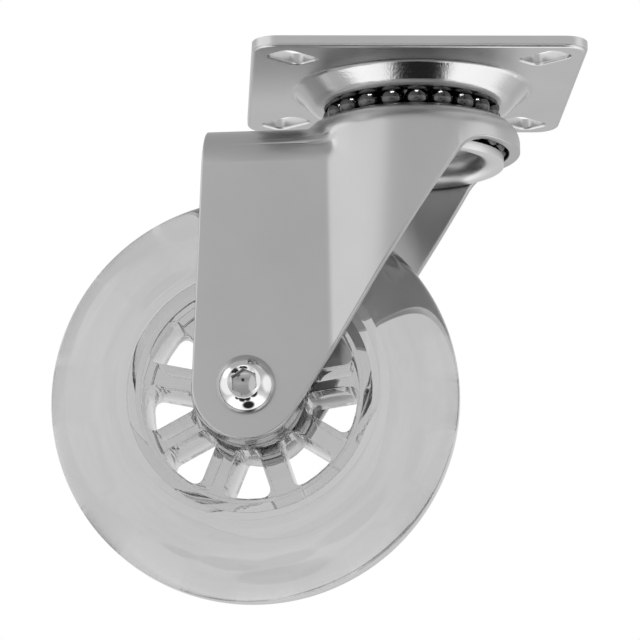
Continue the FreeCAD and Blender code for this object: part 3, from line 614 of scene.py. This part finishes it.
def apply_modifiers(piece: Object, sliver: float) -> None:
    """Make every modifier part of the mesh, and merge the slivers that are left.

    Args:
        piece: The piece.
        sliver: Their size.
    """
    select_only(piece)
    for modifier in list(piece.modifiers):
        bpy.ops.object.modifier_apply(modifier=modifier.name)
    bpy.ops.object.mode_set(mode="EDIT")
    merge_near(sliver)
    bpy.ops.mesh.dissolve_degenerate(threshold=sliver)
    settle(piece)


def combine(piece: Object, tool: Object, operation: str) -> None:
    """Cut or trim a piece with a tool solid, and remove the tool.

    Args:
        piece: The piece.
        tool: The tool.
        operation: DIFFERENCE or INTERSECT.
    """
    cut = piece.modifiers.new("solid_tool", "BOOLEAN")
    cut.object, cut.operation, cut.solver = tool, operation, "EXACT"
    apply_modifiers(piece, SLIVER)
    bpy.data.objects.remove(tool)


def soften(piece: Object, width: float, angle: float) -> None:
    """Bevel the edges that turn by more than an angle.

    Args:
        piece: The piece.
        width: Width of the bevel.
        angle: The angle.
    """
    soft = piece.modifiers.new("soft_edges", "BEVEL")
    soft.width, soft.segments = width, 2
    soft.limit_method, soft.angle_limit = "ANGLE", radians(angle)
    apply_modifiers(piece, SEAM)


def finish_moulding(piece: Object, bond_radius: float, crease: float) -> Object:
    """Shade a moulding, give its second material to the bond and set it on the axle.

    Args:
        piece: The tyre or the core, about the Y axis.
        bond_radius: Where these two are moulded into each other.
        crease: Angle above which an edge stays sharp in the shading.

    Returns:
        The moulding.
    """
    for _ in range(2):
        bpy.ops.object.material_slot_add()
    reach = [hypot(vertex.co.x, vertex.co.z) for vertex in piece.data.vertices]
    for face in piece.data.polygons:
        if all(abs(reach[index] - bond_radius) < 2.0 * NEAR for index in face.vertices):
            face.material_index = 1
    bpy.ops.object.shade_smooth_by_angle(angle=radians(crease))
    AXLE.carry(piece)
    return piece


def dress(piece: Object, material: Material) -> None:
    """Give a piece one finish in place of what it wore."""
    piece.data.materials.clear()
    piece.data.materials.append(material)


@dataclass(frozen=True)
class Tyre:
    """Thick clear tyre, round in section, with a fine ring moulded in each side.

    Args:
        radius: Its outside radius.
        section_radius: Radius of its round tread.
        bond_radius: Where it is moulded on the core.
        bond_half_width: Half its width there.
        bond_overlap: How far it reaches into the core, so that no air shows between the two.
        ring_radius: Radius of the fine ring in each side.
        ring_depth: Depth of that ring.
        ring_half_width: Half its width.
        steps: Number of parts round the wheel.
    """

    radius: float = 0.0375
    section_radius: float = 0.012
    bond_radius: float = 0.0224
    bond_half_width: float = 0.0106
    bond_overlap: float = 0.00008
    ring_radius: float = 0.0238
    ring_depth: float = 0.00012
    ring_half_width: float = 0.0003
    steps: int = 200

    def outline(self) -> list[Point]:
        """The section, from one side of the bond to the other.

        Returns:
            Its corners as radius and place along the axle.
        """
        middle = self.radius - self.section_radius
        slope = (self.section_radius - self.bond_half_width) / (middle - self.bond_radius)
        half = self.ring_half_width

        def side(radius: float, sink: float) -> Point:
            return radius, self.section_radius - (middle - radius) * slope - sink

        far_side = [side(middle - half, 0.0), side(self.ring_radius + half, 0.0),
                    side(self.ring_radius, self.ring_depth), side(self.ring_radius - half, 0.0),
                    (self.bond_radius - self.bond_overlap,
                     self.bond_half_width - self.bond_overlap * slope)]
        near_side = [(radius, -place) for radius, place in reversed(far_side)]
        tread = arc_points((middle, 0.0), self.section_radius, -90.0, 90.0, steps=48)
        return near_side + tread + far_side

    def build(self) -> Object:
        """Spin the section round the axle."""
        tyre = turn_solid("clear_tyre_moulding", self.outline(), self.steps)
        return finish_moulding(tyre, self.bond_radius - self.bond_overlap, crease=25.0)


@dataclass(frozen=True)
class WheelCore:
    """Clear moulded hub and rim joined by nine flat spokes with drafted, softened edges.

    Args:
        stop_radius: Bore between the two bearings.
        seat_radius: Bore of the bearing seats.
        seat_depth: How far the seats start from the middle.
        hub_radius: Outside radius of the hub.
        hub_half_width: Half the hub's length.
        web_half_width: Half the spokes' thickness.
        web_radius: Where the web meets the rim's step.
        rim_radius: Inner radius of the wide rim.
        rim_half_width: Half the rim's width.
        bond_radius: Outside radius.
        window_count: Number of windows.
        window_angle: Direction of the first window.
        window_inner: Its inner radius.
        window_outer: Its outer radius.
        window_round: Radius of its outer corners.
        window_foot_round: Radius of its inner corners.
        cutter_over: How far the windows' cutters reach out of the web.
        spoke_half_width: Half the width of a spoke.
        draft: How much narrower a window is in the middle of the web, as a share.
        edge_round: Softening of the moulded edges.
        steps: Number of parts round the wheel.
    """

    stop_radius: float = 0.0076
    seat_radius: float = 0.00945
    seat_depth: float = 0.00605
    hub_radius: float = 0.0103
    hub_half_width: float = 0.012
    web_half_width: float = 0.009
    web_radius: float = 0.0199
    rim_radius: float = 0.0206
    rim_half_width: float = 0.010
    bond_radius: float = 0.0224
    window_count: int = 9
    window_angle: float = -92.0
    window_inner: float = 0.0106
    window_outer: float = 0.0196
    window_round: float = 0.0018
    window_foot_round: float = 0.0006
    cutter_over: float = 0.0005
    spoke_half_width: float = 0.00205
    draft: float = 0.03
    edge_round: float = 0.00022
    steps: int = 180

    def blank(self) -> Object:
        """Turn the hub, web and rim, before the windows are cut.

        Returns:
            The solid core.
        """
        far_side = [
            (self.stop_radius, self.seat_depth), (self.seat_radius, self.seat_depth),
            (self.seat_radius, self.hub_half_width), (self.hub_radius, self.hub_half_width),
            (self.hub_radius, self.web_half_width), (self.web_radius, self.web_half_width),
            (self.rim_radius, self.rim_half_width), (self.bond_radius, self.rim_half_width)]
        near_side = [(radius, -place) for radius, place in reversed(far_side)]
        return turn_solid("clear_core_moulding", far_side + near_side, self.steps)

    def window_arc(self, radius: float, steps: int) -> list[Point]:
        """Places across the first window at one radius, in this many parts."""
        half = 180.0 / self.window_count - degrees(asin(self.spoke_half_width / radius))
        return arc_points((0.0, 0.0), radius, self.window_angle - half, self.window_angle + half,
                          steps)

    def window(self) -> Object:
        """Make the block that cuts one window, narrowest in the middle of the web.

        Returns:
            The block.
        """
        low = -self.web_half_width - self.cutter_over
        outline = self.window_arc(self.window_inner, steps=1)
        outline += reversed(self.window_arc(self.window_outer, steps=4))
        block = trace("core_window", [Vector((x, low, z)) for x, z in outline])
        for radius, offset in ((self.window_outer, self.window_round),
                               (self.window_inner, self.window_foot_round)):
            corners = self.window_arc(radius, steps=1)
            bpy.ops.mesh.select_all(action="DESELECT")
            for vertex in bmesh.from_edit_mesh(block.data).verts:
                place = block.location + vertex.co
                vertex.select = any(hypot(place.x - x, place.z - z) < NEAR for x, z in corners)
            bpy.ops.mesh.bevel(offset=offset, segments=6, affect="VERTICES")
        bpy.ops.mesh.select_all(action="SELECT")
        bpy.ops.mesh.edge_face_add()
        angle = radians(self.window_angle)
        reach = (self.window_inner + self.window_outer) / 2.0
        middle = (reach * cos(angle), 0.0, reach * sin(angle))
        for share in (1.0 - self.draft, 1.0 / (1.0 - self.draft)):
            bpy.ops.mesh.extrude_region_move(TRANSFORM_OT_translate={"value": (0.0, -low, 0.0)})
            bpy.ops.transform.resize(value=(share, 1.0, share), center_override=middle)
        face_outwards()
        settle(block)
        return block

    def build(self) -> Object:
        """Cut the windows, soften the edges and set the core on the axle.

        Returns:
            The finished core.
        """
        core = self.blank()
        block = self.window()
        blocks = [block]
        for index in range(1, self.window_count):
            blocks.append(duplicate(block))
            blocks[-1].rotation_euler.y = 2.0 * pi * index / self.window_count
        select_only(*blocks)
        bpy.ops.object.join()
        combine(core, block, "DIFFERENCE")
        soften(core, self.edge_round, angle=35.0)
        return finish_moulding(core, self.bond_radius, crease=30.0)


@dataclass(frozen=True)
class Wheel:
    """The clear wheel: tyre and core."""

    tyre: Tyre = Tyre()
    core: WheelCore = WheelCore()

    def build(self, materials: dict[str, Material]) -> None:
        """Make both mouldings in place of their solids.

        Args:
            materials: The castor's materials by slot name.
        """
        for piece, node, slot in ((self.tyre.build(), "tyre", "clear_tyre"),
                                  (self.core.build(), "wheel_core", "clear_core")):
            piece.material_slots[0].material = materials[slot]
            piece.material_slots[1].material = materials["clear_bond"]
            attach(piece, Body.WHEEL.value)
            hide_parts(node)
            LOG.info("%s: %d faces", piece.name, len(piece.data.polygons))


@dataclass(frozen=True)
class AxleBolt:
    """Button-head M6 screw: domed head, countersunk hexagon socket and a thread on its free end.

    Args:
        head_seat: Distance of the head's seat from the middle of the fork.
        head_height: Height of the head.
        head_radius: Its radius.
        rim_height: Height of its straight rim.
        land_radius: Radius of the flat land on top.
        dome_radius: Radius of the dome's curve.
        shank_radius: Radius of the shank.
        socket_radius: Radius of the socket's corners.
        socket_turn: Direction of one of them.
        socket_depth: Depth of the socket's straight sides.
        drill_radius: Radius of the drilled point below them.
        drill_point: Depth of that point.
        sink_radius: Radius of the countersink.
        sink_depth: Its depth.
        sink_inset: How far inside the socket's corners it ends.
        sink_over: How far its cutter reaches past the head.
        tip: Distance of the tip from the middle of the fork.
        tip_chamfer: Chamfer at the tip.
        thread_start: Where the thread starts, inside the nut.
        thread_depth: Its depth.
        turns: Number of turns that are wound.
        profile: Its corners, as shares of its depth and of its pitch.
        pitch: Its pitch.
        over: How far cutters and the untrimmed thread reach past the metal.
        lap: How far the shank enters the thread, and the trimming solid clears its crest.
        edge_round: Softening of sharp edges.
        steps: Number of parts round the bolt.
    """

    head_seat: float = 0.0155
    head_height: float = 0.0033
    head_radius: float = 0.0053
    rim_height: float = 0.0007
    land_radius: float = 0.0029
    dome_radius: float = 0.0056
    shank_radius: float = 0.003
    socket_radius: float = 0.00252
    socket_turn: float = 35.0
    socket_depth: float = 0.0021
    drill_radius: float = 0.00195
    drill_point: float = 0.0011
    sink_radius: float = 0.0031
    sink_depth: float = 0.0005
    sink_inset: float = 0.0003
    sink_over: float = 0.0001
    tip: float = 0.0245
    tip_chamfer: float = 0.0006
    thread_start: float = 0.0207
    thread_depth: float = 0.00058
    turns: int = 8
    profile: tuple[Point, ...] = ((0.0, 0.0), (0.0, 0.1), (1.0, 0.44), (1.0, 0.56), (0.0, 0.9),
                                  (0.0, 1.0))
    pitch: float = 0.001
    over: float = 0.0004
    lap: float = 0.0002
    edge_round: float = 0.00005
    steps: int = 72

    @property
    def top(self) -> float:
        """Place of the head's top along the axle."""
        return -self.head_seat - self.head_height

    @property
    def floor(self) -> float:
        """Place along the axle where the socket's straight sides end."""
        return self.top + self.socket_depth

    def turned(self, name: str, *outline: Point) -> Object:
        """Spin an outline that starts and ends on the axis."""
        return turn_solid(name, list(outline), self.steps, closed=False)

    def blank(self) -> Object:
        """Turn the head and the shank.

        Returns:
            The bolt before its socket is cut.
        """
        start = Vector((self.land_radius, self.top))
        end = Vector((self.head_radius, -self.head_seat - self.rim_height))
        chord = end - start
        out = Vector((chord.y, -chord.x)).normalized()
        sag = sqrt(self.dome_radius ** 2 - (chord.length / 2.0) ** 2)
        centre = (start + end) / 2.0 - out * sag
        angles = [degrees(atan2(*(place - centre).yx)) for place in (start, end)]
        dome = arc_points(tuple(centre), self.dome_radius, *angles, steps=14)
        inside = self.thread_start + self.lap
        return self.turned(
            "axle_bolt_screw", (0.0, self.top), *dome, (self.head_radius, -self.head_seat),
            (self.shank_radius, -self.head_seat), (self.shank_radius, self.thread_start),
            (self.shank_radius - self.thread_depth, inside), (0.0, inside))

    def socket(self) -> Object:
        """Make the six-sided cutter of the socket.

        Returns:
            The cutter.
        """
        start = self.top - self.over
        corners = arc_points((0.0, 0.0), self.socket_radius, self.socket_turn,
                             self.socket_turn + 300.0, steps=5)
        cutter = trace("socket_cutter", [Vector((x, start, z)) for x, z in corners])
        bpy.ops.mesh.edge_face_add()
        bpy.ops.mesh.extrude_region_move(
            TRANSFORM_OT_translate={"value": (0.0, self.floor - start, 0.0)})
        face_outwards()
        settle(cutter)
        return cutter

    def thread(self) -> Object:
        """Wind the thread round the free end and trim its ends.

        Returns:
            The threaded end.
        """
        root, low = self.shank_radius - self.thread_depth, self.thread_start - 2.0 * self.pitch
        thread = trace("bolt_thread", [
            Vector((root + rise * self.thread_depth, low + share * self.pitch, 0.0))
            for rise, share in self.profile], closed=False)
        settle(thread)
        wind = thread.modifiers.new("winding", "SCREW")
        wind.axis, wind.screw_offset, wind.iterations = "Y", self.pitch, self.turns
        wind.steps = wind.render_steps = 40
        wind.use_merge_vertices = True
        apply_modifiers(thread, NEAR)
        bpy.ops.object.mode_set(mode="EDIT")
        for place, side in ((self.thread_start - self.over, -1.0), (self.tip + self.over, 1.0)):
            bpy.ops.mesh.select_all(action="SELECT")
            bpy.ops.mesh.bisect(plane_co=(0.0, place, 0.0), plane_no=(0.0, side, 0.0),
                                clear_outer=True)
        bpy.ops.mesh.select_all(action="SELECT")
        bpy.ops.mesh.fill_holes(sides=0)
        face_outwards()
        settle(thread)
        wide = self.shank_radius + self.lap
        combine(thread, self.turned(
            "thread_trim", (0.0, self.thread_start), (wide, self.thread_start),
            (wide, self.tip - self.tip_chamfer - self.lap),
            (self.shank_radius - self.tip_chamfer, self.tip), (0.0, self.tip)), "INTERSECT")
        return thread

    def build(self, material: Material) -> None:
        """Make the bolt in place of its solid.

        Args:
            material: Its finish.
        """
        bolt = self.blank()
        combine(bolt, self.socket(), "DIFFERENCE")
        high, sunk = self.top - self.sink_over, self.top + self.sink_depth
        low = self.floor - self.over
        for name, *outline in (
                ("socket_sink", (0.0, high), (self.sink_radius + self.sink_over, high),
                 (self.socket_radius - self.sink_inset, sunk), (0.0, sunk)),
                ("drill_point", (0.0, low), (self.drill_radius, low),
                 (self.drill_radius, self.floor), (0.0, self.floor + self.drill_point))):
            combine(bolt, self.turned(name, *outline), "DIFFERENCE")
        soften(bolt, self.edge_round, angle=25.0)
        select_only(bolt, self.thread())
        bpy.ops.object.join()
        dress(bolt, material)
        bpy.ops.object.shade_smooth_by_angle(angle=radians(20.0))
        AXLE.carry(bolt)
        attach(bolt, Body.FORK.value)
        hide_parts("axle_bolt")
        LOG.info("%s: %d faces", bolt.name, len(bolt.data.polygons))


@dataclass(frozen=True)
class Fork:
    """The pressed fork, with the ends of its drawn shoulder eased into the legs.

    Args:
        shoulder: Places of the shoulder's two ends, before the fork is turned.
        reach: How far from those places the surface is eased.
        passes: How often it is eased.
    """

    shoulder: tuple[tuple[float, float, float], ...] = (
        (-0.0138, -0.0147, -0.0143), (-0.0138, 0.0147, -0.0143))
    reach: float = 0.0042
    passes: int = 30

    def build(self, material: Material) -> None:
        """Copy the fork's solid and ease its shoulder.

        Args:
            material: Its finish.
        """
        fork = duplicate(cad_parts["fork"])
        fork.name = fork.data.name = "pressed_fork"
        select_only(fork)
        bpy.ops.mesh.customdata_custom_splitnormals_clear()
        bpy.ops.object.mode_set(mode="EDIT")
        merge_near(SLIVER)
        self.select_shoulder(fork)
        bpy.ops.mesh.subdivide(number_cuts=1)
        self.select_shoulder(fork)
        bpy.ops.mesh.vertices_smooth(factor=0.5, repeat=self.passes)
        settle(fork)
        bpy.ops.object.shade_smooth_by_angle(angle=radians(38.0))
        dress(fork, material)
        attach(fork, Body.FORK.value)
        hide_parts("fork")
        LOG.info("%s: %d faces", fork.name, len(fork.data.polygons))

    def select_shoulder(self, fork: Object) -> None:
        """Select the vertices around the shoulder's ends.

        Args:
            fork: The fork in edit mode.
        """
        turn = Matrix.Rotation(radians(AXLE.turn), 3, "Z")
        ends = [turn @ Vector(place) for place in self.shoulder]
        mesh = bmesh.from_edit_mesh(fork.data)
        bpy.ops.mesh.select_mode(type="VERT")
        bpy.ops.mesh.select_all(action="DESELECT")
        for vertex in mesh.verts:
            vertex.select = any((vertex.co - place).length < self.reach for place in ends)
        mesh.select_flush(True)
        bmesh.update_edit_mesh(fork.data)


@dataclass(frozen=True)
class PhotoCamera:
    """The photo's camera: below the castor, looking slightly up.

    Args:
        place: Where it stands.
        yaw: Turn to the left, in radians.
        pitch: Tilt upwards, in radians.
        roll: Turn about its view line, in radians.
        focal_pixels: Focal length in pixels of the frame.
        frame_pixels: Width and height of the frame.
    """

    place: tuple[float, float, float] = (-0.04110, -0.63964, -0.17897)
    yaw: float = -0.0371
    pitch: float = 0.2059
    roll: float = -0.0092
    focal_pixels: float = 3578.0
    frame_pixels: float = 640.0

    def build(self) -> None:
        """Make the camera and set it as the scene's own."""
        data = bpy.data.cameras.new("photo_camera")
        data.sensor_width = 36.0
        data.lens = self.focal_pixels / self.frame_pixels * data.sensor_width
        data.clip_start, data.clip_end = 0.01, 20.0
        camera = bpy.data.objects.new("photo_camera", data)
        bpy.context.scene.collection.objects.link(camera)
        ahead = Vector((-sin(self.yaw) * cos(self.pitch),
                        cos(self.yaw) * cos(self.pitch), sin(self.pitch)))
        level = Vector((cos(self.yaw), sin(self.yaw), 0.0))
        above = level.cross(ahead)
        right = cos(self.roll) * level + sin(self.roll) * above
        top = cos(self.roll) * above - sin(self.roll) * level
        turn = Matrix((right, top, -ahead)).transposed().to_4x4()
        camera.matrix_world = Matrix.Translation(self.place) @ turn
        bpy.context.scene.camera = camera


def toward(azimuth: float, elevation: float) -> Vector:
    """The unit vector at this azimuth, from +X towards +Y, and elevation."""
    turn, level = radians(azimuth), cos(radians(elevation))
    return Vector((level * cos(turn), level * sin(turn), sin(radians(elevation))))


@dataclass(frozen=True)
class Softbox:
    """A bright or dark patch of the studio, by its direction from the castor.

    Args:
        azimuth: Its direction, from +X towards +Y.
        elevation: Its height above the horizon.
        half_angle: Its half size.
        blur: Width of its soft border.
        light: How bright it is.
    """

    azimuth: float
    elevation: float
    half_angle: float
    blur: float
    light: float

    def border(self) -> list[float]:
        """Cosines of the angles at the outside and the inside of its soft border."""
        angles = (self.half_angle + self.blur / 2, self.half_angle - self.blur / 2)
        return [cos(radians(angle)) for angle in angles]


@dataclass(frozen=True)
class Studio:
    """White studio: soft light by height, softboxes, and a pale floor under the wheel.

    Args:
        heights: Light of the walls at some elevations.
        softboxes: The patches that differ from the walls.
        clear_share: How far the studio turns plain white for light that came through the wheel.
        floor_size: Side of the square floor.
        floor_gap: Space between the castor's lowest point and the floor.
        glint_directions: Azimuth and elevation of the small lamps for the swivel balls' glints.
        glint_distance: Their distance from the swivel.
        glint_size: Their diameter.
        glint_power: Their power.
    """

    heights: tuple[Point, ...] = (
        (-90, 1.2), (-61, 1.45), (-42, 1.4), (-27, 0.75), (-14, 0.57), (8, 0.76), (18, 0.64),
        (40, 0.55), (90, 0.5))
    softboxes: tuple[Softbox, ...] = tuple(Softbox(*row) for row in (
        # azimuth, elevation, half angle, blur, light
        (-67, -78.5, 17, 8, 0.02),
        (-140, -44, 6, 5, 0.03),
        (-118, -53, 11, 5, 0.03),
        (-88, -52, 10, 5, 0.03),
        (-64, -33, 13, 6, 0.03),
        (-92, -9, 7, 5, 0.05),
        (203, 10, 38, 10, 1.08),
        (-12, 5, 22, 14, 1.1),
        (180, 35, 12, 10, 1.6)))
    clear_share: float = 0.85
    floor_size: float = 3.0
    floor_gap: float = 0.0001
    glint_directions: tuple[Point, ...] = ((-104.0, 58.0), (-80.0, 58.0))
    glint_distance: float = 0.25
    glint_size: float = 0.05
    glint_power: float = 1.6

    def build_world(self) -> None:
        """Light the scene from the walls and softboxes; the camera itself sees plain white."""
        world = bpy.data.worlds.new("white_studio")
        bpy.context.scene.world = world
        world.use_nodes = True
        nodes = NodeTree(world.node_tree)
        direction = nodes.add("ShaderNodeTexCoord").outputs["Generated"]
        split = nodes.add("ShaderNodeSeparateXYZ", Vector=direction)
        ramp = nodes.add("ShaderNodeValToRGB", Fac=nodes.mean(split.outputs["Z"], 1.0))
        ramp.color_ramp.interpolation = "EASE"
        while len(ramp.color_ramp.elements) < len(self.heights):
            ramp.color_ramp.elements.new(0.5)
        for element, (elevation, grey) in zip(ramp.color_ramp.elements, self.heights):
            element.position = (sin(radians(elevation)) + 1.0) / 2.0
            element.color = (grey, grey, grey, 1.0)
        light = ramp.outputs["Color"]
        for box in self.softboxes:
            middle = toward(box.azimuth, box.elevation)
            facing = nodes.vectors("DOT_PRODUCT", direction, middle)["Value"]
            light = nodes.mix(nodes.step(facing, *box.border()), light, box.light)
        rays = nodes.add("ShaderNodeLightPath").outputs
        through = nodes.maths("MULTIPLY", rays["Is Transmission Ray"], self.clear_share)
        white = nodes.maths("MAXIMUM", rays["Is Camera Ray"], through)
        nodes.set(world.node_tree.nodes["Background"], Color=nodes.mix(white, light, 1.0))

    def build_floor(self) -> None:
        """Lay a pale floor that is clear from below, so the low camera looks past it."""
        level = CAD_BOX[0][2] - self.floor_gap
        bpy.ops.mesh.primitive_plane_add(size=self.floor_size, location=(0.0, 0.0, level))
        floor = bpy.context.active_object
        floor.name = "floor"
        material, nodes, shader = new_material(
            "pale_floor", Base_Color=(0.86, 0.86, 0.86, 1.0), Roughness=0.6)
        clear = nodes.add("ShaderNodeBsdfTransparent")
        side = nodes.add("ShaderNodeNewGeometry").outputs["Backfacing"]
        mix = nodes.add("ShaderNodeMixShader", None, (side, shader.outputs[0], clear.outputs[0]))
        nodes.set(material.node_tree.nodes["Material Output"], Surface=mix.outputs[0])
        dress(floor, material)
        floor.visible_glossy = floor.visible_transmission = False

    def build_glints(self) -> None:
        """Set small lamps that light only the swivel's balls."""
        balls = bpy.data.collections.new("swivel_ball_rows")
        for name in ("upper_balls", "lower_balls"):
            balls.objects.link(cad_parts[name])
        for azimuth, elevation in self.glint_directions:
            direction = toward(azimuth, elevation)
            bpy.ops.object.light_add(type="AREA", location=direction * self.glint_distance)
            lamp = bpy.context.active_object
            lamp.name = "ball_lamp"
            lamp.rotation_euler = direction.to_track_quat("Z", "Y").to_euler()
            lamp.data.shape, lamp.data.size = "DISK", self.glint_size
            lamp.data.energy = self.glint_power
            link = lamp.light_linking
            link.receiver_collection = link.blocker_collection = balls

    def set_exposure(self) -> None:
        """Show plain white as white, and let light pass through the whole wheel."""
        scene = bpy.context.scene
        scene.view_settings.view_transform = "Standard"
        scene.view_settings.look = "None"
        scene.cycles.max_bounces = scene.cycles.transmission_bounces = 24
        scene.cycles.transparent_max_bounces = 12
        scene.cycles.glossy_bounces = 6


def main() -> None:
    """Build the camera, the studio and the castor's finishes in order."""
    PhotoCamera().build()
    LOG.info("camera set")
    studio = Studio()
    studio.build_world()
    studio.build_floor()
    studio.build_glints()
    studio.set_exposure()
    LOG.info("studio set")
    materials = Finishes().dress_solids()
    Fork().build(materials["satin_steel"])
    Wheel().build(materials)
    AxleBolt().build(materials["bright_steel"])


if __name__ == "__main__":
    main()
